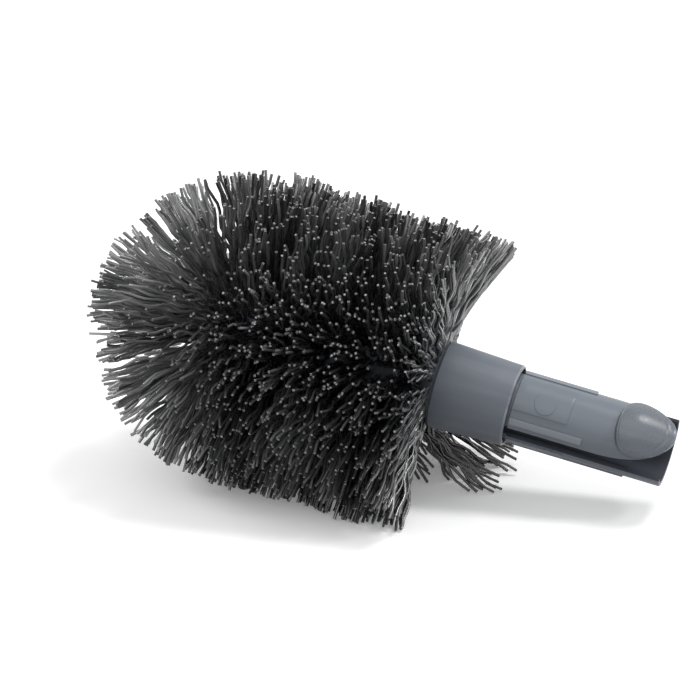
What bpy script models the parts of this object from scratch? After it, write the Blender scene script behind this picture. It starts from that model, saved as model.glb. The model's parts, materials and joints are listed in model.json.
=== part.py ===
"""Round cleaning brush with a click-on spigot for a pole, lying on a table.

A moulded core with a collar carries tufts of bristle in drilled seats. A split spigot
sits in the collar's socket: a fixed jaw below and a sprung tongue with a thumb pad above.
Run in Blender 4.5. Units are metres, +Z is up, and the table top is at Z = 0.
"""
import math

import bmesh
import bpy
from mathutils import Matrix, Vector

# How the brush lies: its axis runs along X and dips towards the spigot
AXIS_PITCH = math.radians(11.8)
HEAD_SINK = 0.0004
CLIP_ROLL = math.radians(42.0)

# Running and seating clearances
SEAT_CLEARANCE = 0.0003
HINGE_CLEARANCE = 0.0005
CUT_OVERRUN = 0.002

# Collar: the tapered sleeve that a pole's end butts against
COLLAR_LENGTH = 0.0255
COLLAR_RIM_RADIUS = 0.0135
COLLAR_BACK_RADIUS = 0.0145
COLLAR_BACK_ROUND = 0.0006
RIM_WALL = 0.0010
RIM_CHAMFER = 0.0003
MOUTH_DEPTH = 0.0060
SOCKET_DEPTH = 0.0198

# Core: a rod with a domed end, drilled for the tufts
CORE_RADIUS = 0.0130
CORE_STRAIGHT = 0.0665
SEAT_DEPTH = 0.0052
DOME_SEAT_DEPTH = 0.0026

# Split spigot: a tube cut into a jaw and a tongue by two slots
SPIGOT_RADIUS = 0.0116
SPIGOT_WALL = 0.0020
JAW_LENGTH = 0.0525
ROOT_RING_LENGTH = 0.0080
JAW_RELIEF_LENGTH = 0.0115
JAW_RELIEF = 0.0007
JAW_RELIEF_SLOPE = 0.0003
TONGUE_HALF_DEG = 65.0
SLOT_DEG = 20.0

# Lengthwise rails that centre the spigot in the pole
RAIL_HEIGHT = 0.0005
RAIL_SET_BACK = 0.0005
RAIL_DEG = 10.0
TONGUE_RAIL_INSET_DEG = 10.0
TONGUE_RAIL_LENGTH = 0.0270
EDGE_RAIL_INSET_DEG = 5.0
EDGE_RAIL_LENGTH = 0.0200
KEEL_RAIL_FROM_BOTTOM_DEG = 50.0
KEEL_RAIL_LENGTH = 0.0400

# Tongue outline and thumb pad
TONGUE_LENGTH = 0.0542
TONGUE_TAPER_LENGTH = 0.0243
TIP_BLUNT = 0.0004
PAD_HEIGHT = 0.0024
PAD_LENGTH = 0.0189
PAD_ROOT_LENGTH = 0.0063
PAD_TIP_MARGIN = 0.0008
PAD_HALF_DEG = 51.0
PAD_ROOT_POWER = 2.5
PAD_TIP_POWER = 2.0
PAD_CROWN_POWER = 0.6
PAD_ROOT_SHARES = (-0.30, 0.0, 0.10, 0.26, 0.50, 0.75, 1.0)
PAD_TIP_SHARES = (0.18, 0.36, 0.54, 0.68, 0.80, 0.89, 0.96, 1.0)

# Tufts: where they are seated
ROWS = 5
TUFTS_PER_ROW = 7
ROW_START = 0.0055
ROW_END = 0.0050
DOME_RING_COUNTS = (9, 6, 3)
DOME_RING_SHARES = (0.18, 0.48, 0.80)
PLUG_RADIUS = 0.0022

# Tufts: how their strands spray, lean and crimp
BRISTLE_LENGTH = 0.0390
STRAND_RADIUS = 0.00072
STRANDS_PER_TUFT = 6
STRAND_STEPS = 3
TIP_SHARE = 0.85
CRIMP = 0.0005
KNEE_SHARE = 0.40
LEAN = math.radians(18.0)
LEAN_UP_SHARES = (0.70, 0.95)
SPLAY_SHARE = 0.60
SPLAY_SIDE_SHARES = (0.3, 0.5)
SPLAY_DOWN_SHARES = (0.2, 0.5)
SIDE_FAN_SHARE = 0.42
ROW_FAN_SHARE = 0.34
REACH_SHARES = (0.9, 0.7)

# Tufts: how the table presses the lowest strands flat
FLOOR_CUT = 0.0005
SLIDE_PER_DEPTH = 1.2
HANDLE_BIAS = 0.0040

# Facets
TURNS = 48
DOME_STEPS = 7
SEAT_SIDES = 10
FACET_DEG = 5.0
SHARP_EDGE = math.radians(30.0)
WELD_SHARE = 0.01

# Looks
PLASTIC = (0.17, 0.20, 0.23, 1.0)
PLASTIC_ROUGHNESS = 0.45
TONGUE_PLASTIC = (0.19, 0.22, 0.25, 1.0)
TONGUE_ROUGHNESS = 0.38
BRISTLE = (0.025, 0.027, 0.030, 1.0)
BRISTLE_ROUGHNESS = 0.40

# Sizes worked out from those above, in the brush's own frame: X runs along the axis towards
# the spigot, and X = 0 is the collar's rim
WELD = SEAT_CLEARANCE * WELD_SHARE
DOME_CENTRE = -(COLLAR_LENGTH + CORE_STRAIGHT)
HEAD_RADIUS = CORE_RADIUS + BRISTLE_LENGTH
MOUTH_RADIUS = COLLAR_RIM_RADIUS - RIM_WALL
SOCKET_RADIUS = SPIGOT_RADIUS + SEAT_CLEARANCE
SPIGOT_BORE = SPIGOT_RADIUS - SPIGOT_WALL
SPIGOT_ROOT = SEAT_CLEARANCE - SOCKET_DEPTH
RING_END = SPIGOT_ROOT + ROOT_RING_LENGTH
RAIL_START = RAIL_SET_BACK - MOUTH_DEPTH
JAW_EDGE_DEG = TONGUE_HALF_DEG + SLOT_DEG
EDGE_RAIL_DEG = JAW_EDGE_DEG + EDGE_RAIL_INSET_DEG
KEEL_RAIL_DEG = 180 - KEEL_RAIL_FROM_BOTTOM_DEG - RAIL_DEG
TONGUE_RAIL_DEG = TONGUE_HALF_DEG - TONGUE_RAIL_INSET_DEG - RAIL_DEG
TONGUE_ROOT = RING_END + HINGE_CLEARANCE
TAPER_START = TONGUE_LENGTH - TONGUE_TAPER_LENGTH
PAD_TIP = TONGUE_LENGTH - PAD_TIP_MARGIN
PAD_START = PAD_TIP - PAD_LENGTH
PAD_WIDEST = PAD_START + PAD_ROOT_LENGTH
MEAN_RADIUS = SPIGOT_RADIUS - SPIGOT_WALL / 2
TONGUE_HALF = math.radians(TONGUE_HALF_DEG)
HINGE_RISE = MEAN_RADIUS * math.sin(TONGUE_HALF) / TONGUE_HALF

# Where the brush's own frame stands in the world, with the whole brush centred on X = 0
REAR_REACH = HEAD_RADIUS - DOME_CENTRE * math.cos(AXIS_PITCH)
TIP_RISE = SPIGOT_RADIUS * math.cos(CLIP_ROLL)
FRONT_REACH = TONGUE_LENGTH * math.cos(AXIS_PITCH) + TIP_RISE * math.sin(AXIS_PITCH)
AXIS_HEIGHT = HEAD_RADIUS - HEAD_SINK + DOME_CENTRE * math.sin(AXIS_PITCH)
AXIS_PLACE = Vector(((REAR_REACH - FRONT_REACH) / 2, 0, AXIS_HEIGHT))
BRUSH_MATRIX = Matrix.Translation(AXIS_PLACE) @ Matrix.Rotation(AXIS_PITCH, 4, "Y")


def clear_scene():
    for old in list(bpy.data.objects):
        bpy.data.objects.remove(old, do_unlink=True)


def plastic(name, colour, roughness):
    material = bpy.data.materials.new(name)
    material.use_nodes = True
    shader = material.node_tree.nodes["Principled BSDF"]
    shader.inputs["Base Color"].default_value = colour
    shader.inputs["Roughness"].default_value = roughness
    shader.inputs["Metallic"].default_value = 0
    return material


def add_empty(name, parent, local):
    empty = bpy.data.objects.new(name, None)
    bpy.context.collection.objects.link(empty)
    empty.parent = parent
    empty.matrix_local = local
    return empty


def add_solid(name, shape, material, parent, local=Matrix.Identity(4)):
    """Turn a bmesh into a named object under its parent."""
    mesh = bpy.data.meshes.new(name)
    shape.to_mesh(mesh)
    shape.free()
    mesh.materials.append(material)
    mesh.shade_smooth()
    mesh.set_sharp_from_angle(angle=SHARP_EDGE)
    solid = bpy.data.objects.new(name, mesh)
    bpy.context.collection.objects.link(solid)
    solid.parent = parent
    solid.matrix_local = local
    return solid


def on_tube(along, radius, degrees):
    """A point on a tube round the X axis, with the angle counted from +Z."""
    angle = math.radians(degrees)
    return Vector((along, radius * math.sin(angle), radius * math.cos(angle)))


def body_profile():
    """Half section of core and collar as (along, radius), from the dome's pole to the socket's floor."""
    points = []
    for step in range(DOME_STEPS + 1):
        angle = math.pi / 2 * step / DOME_STEPS
        along = DOME_CENTRE - CORE_RADIUS * math.cos(angle)
        points.append((along, CORE_RADIUS * math.sin(angle)))
    back = -COLLAR_LENGTH
    points.append((back, CORE_RADIUS))
    points.append((back, COLLAR_BACK_RADIUS - COLLAR_BACK_ROUND))
    points.append((back + COLLAR_BACK_ROUND, COLLAR_BACK_RADIUS))
    points.append((-RIM_CHAMFER, COLLAR_RIM_RADIUS))
    points.append((0, COLLAR_RIM_RADIUS - RIM_CHAMFER))
    points.append((0, MOUTH_RADIUS))
    points.append((-MOUTH_DEPTH, MOUTH_RADIUS))
    points.append((-MOUTH_DEPTH, SOCKET_RADIUS))
    points.append((-SOCKET_DEPTH, SOCKET_RADIUS))
    points.append((-SOCKET_DEPTH, 0))
    return points


def revolve(profile):
    """Spin a half section round the X axis into one closed body."""
    shape = bmesh.new()
    verts = [shape.verts.new((along, 0, radius)) for along, radius in profile]
    edges = [shape.edges.new(pair) for pair in zip(verts, verts[1:])]
    bmesh.ops.spin(
        shape, geom=verts + edges, cent=(0, 0, 0), axis=(1, 0, 0), dvec=(0, 0, 0),
        angle=math.tau, steps=TURNS, use_merge=True,
    )
    bmesh.ops.remove_doubles(shape, verts=shape.verts, dist=WELD)
    bmesh.ops.recalc_face_normals(shape, faces=shape.faces)
    return shape


class Tuft:
    """One bunch of bristle: where its seat is, which way it points and how far it sprays."""

    def __init__(self, name, seat, way, side, side_fan, row_fan, depth):
        self.name = name
        self.depth = depth
        self.side_fan = side_fan
        self.row_fan = row_fan
        along = way.cross(side).normalized()
        across = along.cross(way)
        turn = Matrix((across, along, way)).transposed().to_4x4()
        self.local = Matrix.Translation(seat) @ turn


def row_tufts():
    """Tufts in staggered rings on the straight of the core."""
    tufts = []
    first = -COLLAR_LENGTH - ROW_START
    last = DOME_CENTRE + ROW_END
    pitch = (first - last) / (ROWS - 1)
    side_fan = HEAD_RADIUS * math.tau / TUFTS_PER_ROW * SIDE_FAN_SHARE
    row_fan = pitch * ROW_FAN_SHARE
    for row in range(ROWS):
        for place in range(TUFTS_PER_ROW):
            degrees = 360 * (place + row / 2) / TUFTS_PER_ROW
            seat = on_tube(first - pitch * row, CORE_RADIUS, degrees)
            way = Vector((0, seat.y, seat.z)).normalized()
            side = Vector((0, way.z, -way.y))
            name = f"tuft_row{row + 1}_{place + 1}"
            tufts.append(Tuft(name, seat, way, side, side_fan, row_fan, SEAT_DEPTH))
    return tufts


def dome_tufts():
    """Tufts in rings of latitude on the domed end."""
    tufts = []
    step = math.pi / 2 * (DOME_RING_SHARES[1] - DOME_RING_SHARES[0])
    row_fan = HEAD_RADIUS * step * ROW_FAN_SHARE
    for ring, count in enumerate(DOME_RING_COUNTS):
        rise = math.pi / 2 * DOME_RING_SHARES[ring]
        side_fan = HEAD_RADIUS * math.cos(rise) * math.tau / count * SIDE_FAN_SHARE
        for place in range(count):
            flat = on_tube(0, math.cos(rise), 360 * (place + ring / 2) / count)
            way = Vector((-math.sin(rise), flat.y, flat.z))
            side = Vector((0, flat.z, -flat.y)).normalized()
            seat = Vector((DOME_CENTRE, 0, 0)) + way * CORE_RADIUS
            name = f"tuft_dome{ring + 1}_{place + 1}"
            tufts.append(Tuft(name, seat, way, side, side_fan, row_fan, DOME_SEAT_DEPTH))
    return tufts


def seat_cutter(tufts):
    """All the drilled seats as one cutter."""
    shape = bmesh.new()
    wall = (PLUG_RADIUS + SEAT_CLEARANCE) / math.cos(math.pi / SEAT_SIDES)
    for tuft in tufts:
        length = tuft.depth + CUT_OVERRUN
        middle = Matrix.Translation((0, 0, length / 2 - tuft.depth))
        bmesh.ops.create_cone(
            shape, cap_ends=True, segments=SEAT_SIDES, radius1=wall, radius2=wall,
            depth=length, matrix=tuft.local @ middle,
        )
    return shape


def add_brush_body(tufts, material, parent):
    """Collar and core in one moulding, with a blind seat under each tuft."""
    body = add_solid("brush_body", revolve(body_profile()), material, parent)
    cutter = add_solid("seat_cutter", seat_cutter(tufts), material, parent)
    cutter.hide_render = True
    cutter.display_type = "WIRE"
    drill = body.modifiers.new("tuft_seats", "BOOLEAN")
    drill.operation = "DIFFERENCE"
    drill.solver = "EXACT"
    drill.object = cutter
    return body


def eased(value, ends):
    """From 0 to 1 as a value goes from one end of a range to the other."""
    low, high = ends
    return min(max((value - low) / (high - low), 0), 1)


def handle_shift(tuft):
    """How far a tuft's free end lies towards the handle, the more the nearer it is to the collar.

    Tufts on top lean back, and those low on the far side are splayed out under the collar.
    """
    near = max((tuft.local.translation.x - DOME_CENTRE) / CORE_STRAIGHT, 0)
    way = tuft.local.to_3x3().col[2]
    lean = LEAN * near**2 * eased(way.z, LEAN_UP_SHARES)
    splay = SPLAY_SHARE * near**4 * eased(way.y, SPLAY_SIDE_SHARES) * eased(-way.z, SPLAY_DOWN_SHARES)
    return BRISTLE_LENGTH * (math.sin(lean) + splay)


def bristle_tip(tuft, root, bearing, reach_share):
    """Free end of one strand, sprayed round its tuft, a bristle's length from its root."""
    aside = tuft.side_fan * reach_share * math.cos(bearing)
    forward = tuft.row_fan * reach_share * math.sin(bearing)
    row_way = tuft.local.to_3x3().col[1]
    centre = tuft.local @ Vector((0, 0, BRISTLE_LENGTH))
    hub = Vector((min(max(centre.x, DOME_CENTRE), 0), 0, 0))
    swing = Matrix.Rotation(aside / HEAD_RADIUS, 3, row_way)
    free = hub + swing @ (centre - hub) + row_way * forward
    free.x += handle_shift(tuft)
    return root + (free - root).normalized() * BRISTLE_LENGTH


def floor_sweep(tuft):
    """Which way the table pushes a tuft's ends, in world places: outwards and towards the handle."""
    seat = tuft.local.translation
    middle = bristle_tip(tuft, seat, 0, 0)
    out = BRUSH_MATRIX.to_3x3() @ (middle - seat)
    return Vector((out.x + HANDLE_BIAS, out.y, 0)).normalized()


def settled(tip, sweep):
    """Where a strand's end comes to lie when the table presses it."""
    rest = STRAND_RADIUS - FLOOR_CUT
    depth = rest - tip.z
    if depth <= 0:
        return tip
    return Vector((tip.x, tip.y, rest)) + sweep * depth * SLIDE_PER_DEPTH


def strand_path(root, tip, side):
    """Places along one strand: it leaves its seat straight, sprays towards its tip and is crimped."""
    knee = root + Vector((0, 0, (tip - root).length * KNEE_SHARE))
    path = []
    for step in range(1, STRAND_STEPS + 1):
        share = step / STRAND_STEPS
        place = root * (1 - share) ** 2 + knee * 2 * share * (1 - share) + tip * share**2
        if step < STRAND_STEPS:
            place += side * CRIMP * (-1) ** step
        path.append(place)
    return path


def grow_strand(shape, base, path):
    """Extrude a strand from its base face, kept square to the path."""
    face = base
    here = face.calc_center_median()
    heading = face.normal.copy()
    shrink = TIP_SHARE ** (1 / len(path))
    for place in path:
        face = bmesh.ops.extrude_discrete_faces(shape, faces=[face])["faces"][0]
        verts = list(face.verts)
        bmesh.ops.translate(shape, verts=verts, vec=place - here)
        aim = (place - here).normalized()
        turn = heading.rotation_difference(aim).to_matrix()
        bmesh.ops.rotate(shape, verts=verts, cent=place, matrix=turn)
        middle = Matrix.Translation(place)
        bmesh.ops.scale(shape, verts=verts, vec=(shrink,) * 3, space=middle.inverted())
        heading = aim
        here = place


def tuft_shape(tuft):
    """A plug of backing with a strand on each sector of its face."""
    shape = bmesh.new()
    to_tuft = (BRUSH_MATRIX @ tuft.local).inverted()
    sweep = floor_sweep(tuft)
    length = tuft.depth - SEAT_CLEARANCE
    bmesh.ops.create_cone(
        shape, cap_ends=True, cap_tris=False, segments=STRANDS_PER_TUFT, radius1=PLUG_RADIUS,
        radius2=PLUG_RADIUS, depth=length, matrix=Matrix.Translation((0, 0, -length / 2)),
    )
    shape.normal_update()
    top = max(shape.faces, key=lambda face: face.calc_center_median().z)
    sectors = bmesh.ops.poke(shape, faces=[top])["faces"]
    bmesh.ops.inset_individual(shape, faces=sectors, thickness=sector_inset())
    shape.normal_update()
    for base in sectors:
        root = base.calc_center_median()
        side = Vector((root.y, -root.x, 0)).normalized()
        bearing = math.atan2(root.y, root.x)
        turn = round(bearing / math.tau * STRANDS_PER_TUFT)
        tip = bristle_tip(tuft, tuft.local @ root, bearing, REACH_SHARES[turn % 2])
        rest = settled(BRUSH_MATRIX @ tip, sweep)
        grow_strand(shape, base, strand_path(root, to_tuft @ rest, side))
    cut_on_floor(shape, to_tuft)
    return shape


def sector_inset():
    """How far a sector of the plug's face shrinks to a strand's section: both are about equal-sided."""
    sector_in_radius = PLUG_RADIUS * math.sqrt(3) / 6
    strand_in_radius = STRAND_RADIUS / 2
    return sector_in_radius - strand_in_radius


def cut_on_floor(shape, to_tuft):
    """Trim flat what would reach under the table top."""
    floor = to_tuft @ Vector((0, 0, 0))
    up = to_tuft.to_3x3() @ Vector((0, 0, 1))
    if min((vert.co - floor).dot(up) for vert in shape.verts) >= 0:
        return
    everything = shape.verts[:] + shape.edges[:] + shape.faces[:]
    bmesh.ops.bisect_plane(
        shape, geom=everything, dist=WELD, plane_co=floor, plane_no=-up, clear_outer=True,
    )
    rims = [edge for edge in shape.edges if edge.is_boundary]
    bmesh.ops.holes_fill(shape, edges=rims, sides=0)
    bmesh.ops.recalc_face_normals(shape, faces=shape.faces)


def divided(marks, step):
    """Sorted marks, with even steps put in where two are further apart than the step."""
    marks = sorted(set(marks))
    places = []
    for low, high in zip(marks, marks[1:]):
        count = max(round((high - low) / step), 1)
        places += [low + (high - low) * part / count for part in range(count)]
    return places + marks[-1:]


def tube_patch(stations, columns, keeps):
    """Cells of an unrolled tube, as faces with their middles; verts carry (along, degrees)."""
    shape = bmesh.new()
    corners = {}
    cells = {}
    closed = columns[-1] - columns[0] > 360 - FACET_DEG / 2
    last = len(columns) - 1

    def corner(station, column):
        column = 0 if closed and column == last else column
        if (station, column) not in corners:
            corners[station, column] = shape.verts.new((stations[station], columns[column], 0))
        return corners[station, column]

    for station in range(len(stations) - 1):
        for column in range(last):
            along = (stations[station] + stations[station + 1]) / 2
            degrees = (columns[column] + columns[column + 1]) / 2
            if keeps(along, degrees):
                face = shape.faces.new((
                    corner(station, column), corner(station + 1, column),
                    corner(station + 1, column + 1), corner(station, column + 1),
                ))
                cells[face] = (along, degrees)
    return shape, cells


def roll_up(shape, outer, inner):
    """Give a flat patch its wall and wrap it round the axis."""
    skin = list(shape.faces)
    grown = bmesh.ops.extrude_face_region(shape, geom=skin, use_keep_orig=True)["geom"]
    inside = {item for item in grown if isinstance(item, bmesh.types.BMVert)}
    for vert in shape.verts:
        along, degrees, _ = vert.co
        radius = inner(along) if vert in inside else outer(along)
        vert.co = on_tube(along, radius, degrees)


def raise_rail(shape, cells, start, end, degrees):
    """Lift the outer faces between two stations in a band of angles on both sides."""
    chosen = []
    for face, (along, middle) in cells.items():
        if start < along < end and degrees < abs(middle) < degrees + RAIL_DEG:
            chosen.append(face)
    grown = bmesh.ops.extrude_face_region(shape, geom=chosen)["geom"]
    bmesh.ops.delete(shape, geom=chosen, context="FACES")
    for vert in grown:
        if isinstance(vert, bmesh.types.BMVert):
            out = Vector((0, vert.co.y, vert.co.z)).normalized()
            vert.co += out * RAIL_HEIGHT
    for face in chosen:
        del cells[face]


def spigot_radius(along):
    return SPIGOT_RADIUS


def tongue_bore(along):
    return SPIGOT_BORE


def jaw_bore(along):
    """Inner radius of the jaw, relieved near its mouth."""
    return SPIGOT_BORE + JAW_RELIEF * (along > JAW_LENGTH - JAW_RELIEF_LENGTH)


def rail_marks(degrees):
    return [-degrees - RAIL_DEG, -degrees, degrees, degrees + RAIL_DEG]


def add_clip_insert(material, parent):
    """Root ring seated in the socket, with the fixed jaw that runs out of it."""
    relief = JAW_LENGTH - JAW_RELIEF_LENGTH
    marks = [SPIGOT_ROOT, RING_END, RAIL_START, EDGE_RAIL_LENGTH, KEEL_RAIL_LENGTH]
    stations = sorted({*marks, relief, relief + JAW_RELIEF_SLOPE, JAW_LENGTH})
    angles = [-180, -JAW_EDGE_DEG, JAW_EDGE_DEG, 180]
    columns = divided(angles + rail_marks(EDGE_RAIL_DEG) + rail_marks(KEEL_RAIL_DEG), FACET_DEG)

    def keeps(along, degrees):
        return along < RING_END or abs(degrees) > JAW_EDGE_DEG

    shape, cells = tube_patch(stations, columns, keeps)
    roll_up(shape, spigot_radius, jaw_bore)
    raise_rail(shape, cells, RAIL_START, EDGE_RAIL_LENGTH, EDGE_RAIL_DEG)
    raise_rail(shape, cells, RAIL_START, KEEL_RAIL_LENGTH, KEEL_RAIL_DEG)
    bmesh.ops.recalc_face_normals(shape, faces=shape.faces)
    return add_solid("clip_insert", shape, material, parent)


def tongue_half_at(along):
    """Half angle of the tongue, which rounds off to its tip."""
    share = max((along - TAPER_START) / TONGUE_TAPER_LENGTH, 0)
    return TONGUE_HALF_DEG * math.sqrt(1 - share**2)


def pad_rise(along, degrees):
    """Height of the thumb pad over the tongue."""
    if along < PAD_WIDEST:
        lengthwise = (PAD_WIDEST - along) / PAD_ROOT_LENGTH
        power = PAD_ROOT_POWER
    else:
        lengthwise = (along - PAD_WIDEST) / (PAD_TIP - PAD_WIDEST)
        power = PAD_TIP_POWER
    edge = lengthwise**power + (abs(degrees) / PAD_HALF_DEG) ** power
    return PAD_HEIGHT * max(1 - edge, 0) ** PAD_CROWN_POWER


def shape_tongue(shape):
    """Round the tongue off to its tip and raise its thumb pad."""
    for vert in shape.verts:
        along = vert.co.x
        radius = math.hypot(vert.co.y, vert.co.z)
        degrees = math.degrees(math.atan2(vert.co.y, vert.co.z))
        degrees *= tongue_half_at(along) / TONGUE_HALF_DEG
        if radius > MEAN_RADIUS:
            radius += pad_rise(along, degrees)
        vert.co = on_tube(along, radius, degrees)


def add_release_tongue(material, parent):
    """The sprung half of the spigot, with its thumb pad; it bends at its root."""
    tip = TONGUE_LENGTH - TIP_BLUNT
    stations = {TONGUE_ROOT, RAIL_START, TONGUE_RAIL_LENGTH, TAPER_START}
    stations |= {PAD_START + PAD_ROOT_LENGTH * share for share in PAD_ROOT_SHARES}
    stations |= {PAD_WIDEST + (tip - PAD_WIDEST) * share for share in PAD_TIP_SHARES}
    columns = divided([-TONGUE_HALF_DEG, TONGUE_HALF_DEG] + rail_marks(TONGUE_RAIL_DEG), FACET_DEG)

    def keeps(along, degrees):
        return True

    shape, cells = tube_patch(sorted(stations), columns, keeps)
    roll_up(shape, spigot_radius, tongue_bore)
    raise_rail(shape, cells, RAIL_START, TONGUE_RAIL_LENGTH, TONGUE_RAIL_DEG)
    shape_tongue(shape)
    hinge = Vector((TONGUE_ROOT, 0, HINGE_RISE))
    bmesh.ops.translate(shape, verts=shape.verts, vec=-hinge)
    bmesh.ops.recalc_face_normals(shape, faces=shape.faces)
    joint = add_empty("tongue_hinge", parent, Matrix.Translation(hinge))
    return add_solid("release_tongue", shape, material, joint)


def add_tufts(tufts, material, parent):
    for tuft in tufts:
        add_solid(tuft.name, tuft_shape(tuft), material, parent, tuft.local)


def build():
    clear_scene()
    grey = plastic("grey_polypropylene", PLASTIC, PLASTIC_ROUGHNESS)
    satin = plastic("satin_polypropylene", TONGUE_PLASTIC, TONGUE_ROUGHNESS)
    black = plastic("crimped_bristle", BRISTLE, BRISTLE_ROUGHNESS)
    axis = add_empty("brush_axis", None, BRUSH_MATRIX)
    clip_axis = add_empty("clip_axis", axis, Matrix.Rotation(CLIP_ROLL, 4, "X"))
    tufts = row_tufts() + dome_tufts()
    add_brush_body(tufts, grey, axis)
    add_clip_insert(grey, clip_axis)
    add_release_tongue(satin, clip_axis)
    add_tufts(tufts, black, axis)


build()
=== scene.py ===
import json
import math
import random

import bmesh
import bpy
from mathutils import Matrix, Vector


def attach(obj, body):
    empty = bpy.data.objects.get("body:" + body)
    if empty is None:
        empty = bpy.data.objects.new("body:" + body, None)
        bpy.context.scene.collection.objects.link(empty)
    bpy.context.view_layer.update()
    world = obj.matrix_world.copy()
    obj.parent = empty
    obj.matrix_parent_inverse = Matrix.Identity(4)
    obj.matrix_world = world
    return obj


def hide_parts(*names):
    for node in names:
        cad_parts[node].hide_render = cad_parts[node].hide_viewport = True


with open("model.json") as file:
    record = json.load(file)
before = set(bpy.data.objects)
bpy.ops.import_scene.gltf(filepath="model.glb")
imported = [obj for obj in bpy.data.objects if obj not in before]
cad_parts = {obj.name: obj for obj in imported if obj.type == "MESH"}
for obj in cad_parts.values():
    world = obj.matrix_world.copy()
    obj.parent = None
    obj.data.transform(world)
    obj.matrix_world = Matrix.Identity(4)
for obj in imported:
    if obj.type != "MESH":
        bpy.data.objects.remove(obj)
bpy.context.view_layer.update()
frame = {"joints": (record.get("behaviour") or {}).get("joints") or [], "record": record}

# Core and collar: one polypropylene moulding, a rod with a domed end that widens into an open
# collar at the pole end. The rod is drilled for the tufts and all but hidden by them. Every
# moulding is shaped along X, with X = 0 at the collar's rim, and then laid on the brush's axis.
TONGUE_ROOT = -0.0110
HINGE_RISE = 0.0084682
COLLAR_LENGTH = 0.0255
RIM_RADIUS = 0.0135
BACK_RADIUS = 0.0145
BACK_ROUND = 0.0006
RIM_ROUND = 0.0007
RIM_STEPS = 6
MOUTH_CHAMFER = 0.0002
MOUTH_RADIUS = 0.0125
MOUTH_DEPTH = 0.0060
SOCKET_RADIUS = 0.0119
SOCKET_DEPTH = 0.0198
CORE_RADIUS = 0.0130
DOME_CENTRE = -0.0920
DOME_STEPS = 24
LATHE_STEPS = 128
SOFT_EDGE = 0.00014
CORNER_DEG = 35.0
CREASE_DEG = 38.0
SAME_PLACE = 1e-6
GREY_PLASTIC = (0.125, 0.143, 0.172, 1.0)
GREY_PLASTIC_PALE = (0.160, 0.182, 0.215, 1.0)
RIM_HIGHLIGHT_PLASTIC = (0.150, 0.170, 0.200, 1.0)
RIM_HIGHLIGHT_PLASTIC_PALE = (0.330, 0.350, 0.380, 1.0)
REFLECTION_BAND_SCALE = 260.0
REFLECTION_BAND_STRETCH = 14.0
REFLECTION_BAND_SHARE = 0.6
REFLECTION_BAND_HEIGHT = 0.9
CLOUD_SCALE = 70.0
PATTERN_SPREAD = (0.3, 0.7)
WEAR_SCALE = 1100.0
WEAR_SPREAD = (0.35, 0.65)
GRAIN_SCALE = 5200.0
GRAIN_HEIGHT = 0.6
GRAIN_ROUGHNESS = 0.10
GRAIN_DEPTH = 0.00010
PALE_SMOOTHNESS = 0.07

tongue_hinge = frame["joints"][0]
pole_seat = frame["record"]["mounts"][0]
axis_way = Vector(pole_seat["axis"]).normalized()
hinge_way = Vector(tongue_hinge["axis"]).normalized()
clip_up = axis_way.cross(hinge_way)
rim_centre = Vector(tongue_hinge["pos_m"]) - axis_way * TONGUE_ROOT - clip_up * HINGE_RISE
brush_up = axis_way.cross(Vector((0, 1, 0))).normalized()


def laid_at(upward):
    """The place of a part that was shaped along X, with its top turned to a direction."""
    turn = Matrix((axis_way, upward.cross(axis_way), upward)).transposed()
    return Matrix.Translation(rim_centre) @ turn.to_4x4()


brush_place = laid_at(brush_up)
clip_place = laid_at(clip_up)


def sharp_edges(shape):
    """The edges at real corners, and not those between the facets of a round side."""
    return [edge for edge in shape.edges if edge.calc_face_angle(0) > math.radians(CORNER_DEG)]


def soften(shape, edges, size, segments=3):
    bmesh.ops.bevel(
        shape, geom=edges, offset=size, offset_type="OFFSET", affect="EDGES",
        segments=segments, profile=0.5, material=-1, clamp_overlap=True,
    )


def finished(name, shape, place, *finishes, crease=CREASE_DEG):
    """Make a shape into a piece in its place, with its finishes and its creases kept sharp."""
    bmesh.ops.transform(shape, matrix=place, verts=shape.verts)
    mesh = bpy.data.meshes.new(name)
    shape.to_mesh(mesh)
    shape.free()
    for finish in finishes:
        mesh.materials.append(finish)
    if crease:
        mesh.shade_smooth()
        mesh.set_sharp_from_angle(angle=math.radians(crease))
    piece = bpy.data.objects.new(name, mesh)
    bpy.context.scene.collection.objects.link(piece)
    return piece


class Wire:
    """One output of a finish's nodes, which works in sums like a number."""

    def __init__(self, tree, socket):
        self.tree = tree
        self.socket = socket

    def node(self, kind, settings, sockets, output=0):
        """Any other node: first its settings, then the values or wires of its sockets."""
        node = self.tree.nodes.new("ShaderNode" + kind)
        for setting, value in settings.items():
            setattr(node, setting, value)
        for socket, value in sockets.items():
            if isinstance(value, Wire):
                self.tree.links.new(value.socket, node.inputs[socket])
            else:
                node.inputs[socket].default_value = value
        return Wire(self.tree, node.outputs[output])

    def sum(self, operation, first, second):
        return self.node("Math", {"operation": operation}, {0: first, 1: second})

    def __add__(self, other):
        return self.sum("ADD", self, other)

    def __radd__(self, other):
        return self.sum("ADD", other, self)

    def __mul__(self, other):
        return self.sum("MULTIPLY", self, other)

    def __rmul__(self, other):
        return self.sum("MULTIPLY", other, self)

    def or_more(self, other):
        return self.sum("MAXIMUM", self, other)

    def blend(self, low, high):
        """A colour between two, with this wire as the share of the second."""
        return self.node("Mix", {"data_type": "RGBA"}, {0: self, 6: low, 7: high}, 2)

    def noise(self, scale, detail=2.0):
        return self.node("TexNoise", {}, {"Vector": self, "Scale": scale, "Detail": detail})

    def step(self, low, high):
        """From 0 to 1 as this wire goes from one value to another, softly."""
        sockets = {"Value": self, "From Min": low, "From Max": high}
        return self.node("MapRange", {"interpolation_type": "SMOOTHSTEP"}, sockets)

    def into(self, shader, socket):
        self.tree.links.new(self.socket, shader.inputs[socket])


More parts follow.
